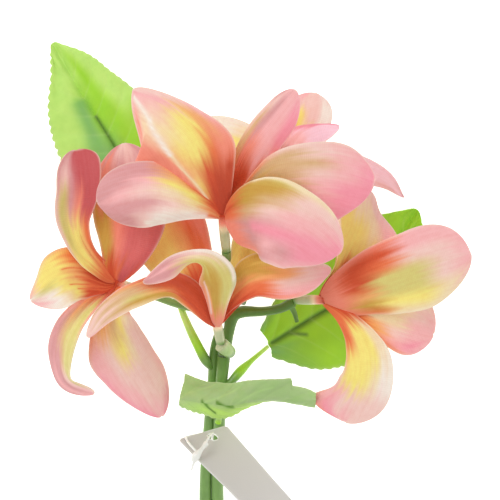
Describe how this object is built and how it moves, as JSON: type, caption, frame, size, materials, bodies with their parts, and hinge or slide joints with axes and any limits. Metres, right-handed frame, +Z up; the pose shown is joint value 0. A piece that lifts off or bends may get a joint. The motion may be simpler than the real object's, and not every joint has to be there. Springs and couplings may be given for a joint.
{
  "type": "artificial frangipani flower spray",
  "caption": "Artificial frangipani spray lying on its back: pink and yellow fabric blossoms and crinkled leaves on forked moulded stems, with a blank hang tag on a plastic loop.",
  "frame": {"origin": "centre of the bounding box's base, on the table the spray lies on", "axes": "+Y runs from the cut stem to the blossoms, +Z is up from the table, and +X is to the right when the spray is seen from above with its stem nearest"},
  "size_m": [0.1746, 0.2528, 0.0946],
  "materials": {
    "petal_cloth": "stiffened woven cloth, printed orange, yellow and pink",
    "leaf_cloth": "stiffened woven cloth, embossed veins, matt",
    "stem_plastic": "moulded, satin",
    "throat_plastic": "moulded, slightly translucent",
    "leaf_stalk_plastic": "moulded, satin",
    "tag_card": "thin coated card, blank",
    "loop_plastic": "thin clear white filament"
  },
  "bodies": {
    "root": {"back_petal_bottom": "petal_cloth", "back_petal_left": "petal_cloth", "back_petal_right": "petal_cloth", "back_petal_top": "petal_cloth", "back_petal_upper_right": "petal_cloth", "back_stalk": "stem_plastic", "back_throat": "throat_plastic", "centre_petal_front": "petal_cloth", "centre_petal_left": "petal_cloth", "centre_petal_right": "petal_cloth", "centre_petal_upper_left": "petal_cloth", "centre_petal_upper_right": "petal_cloth", "centre_stalk": "stem_plastic", "centre_throat": "throat_plastic", "hang_tag": "tag_card", "leaf_low": "leaf_cloth", "leaf_right": "leaf_cloth", "leaf_upper": "leaf_cloth", "left_petal_curled": "petal_cloth", "left_petal_drooping": "petal_cloth", "left_petal_left": "petal_cloth", "left_petal_right": "petal_cloth", "left_petal_top": "petal_cloth", "left_stalk": "stem_plastic", "left_throat": "throat_plastic", "low_leaf_stalk": "leaf_stalk_plastic", "low_petal_curled": "petal_cloth", "low_petal_left": "petal_cloth", "low_petal_right": "petal_cloth", "low_petal_upper_left": "petal_cloth", "low_petal_upper_right": "petal_cloth", "low_socket": "throat_plastic", "low_throat": "throat_plastic", "main_stem": "stem_plastic", "right_leaf_stalk": "leaf_stalk_plastic", "right_petal_back": "petal_cloth", "right_petal_bottom": "petal_cloth", "right_petal_lower_right": "petal_cloth", "right_petal_right": "petal_cloth", "right_petal_top": "petal_cloth", "right_stalk": "stem_plastic", "right_throat": "throat_plastic", "side_stem": "stem_plastic", "tag_loop": "loop_plastic", "upper_leaf_stalk": "leaf_stalk_plastic"}
  },
  "joints": []
}
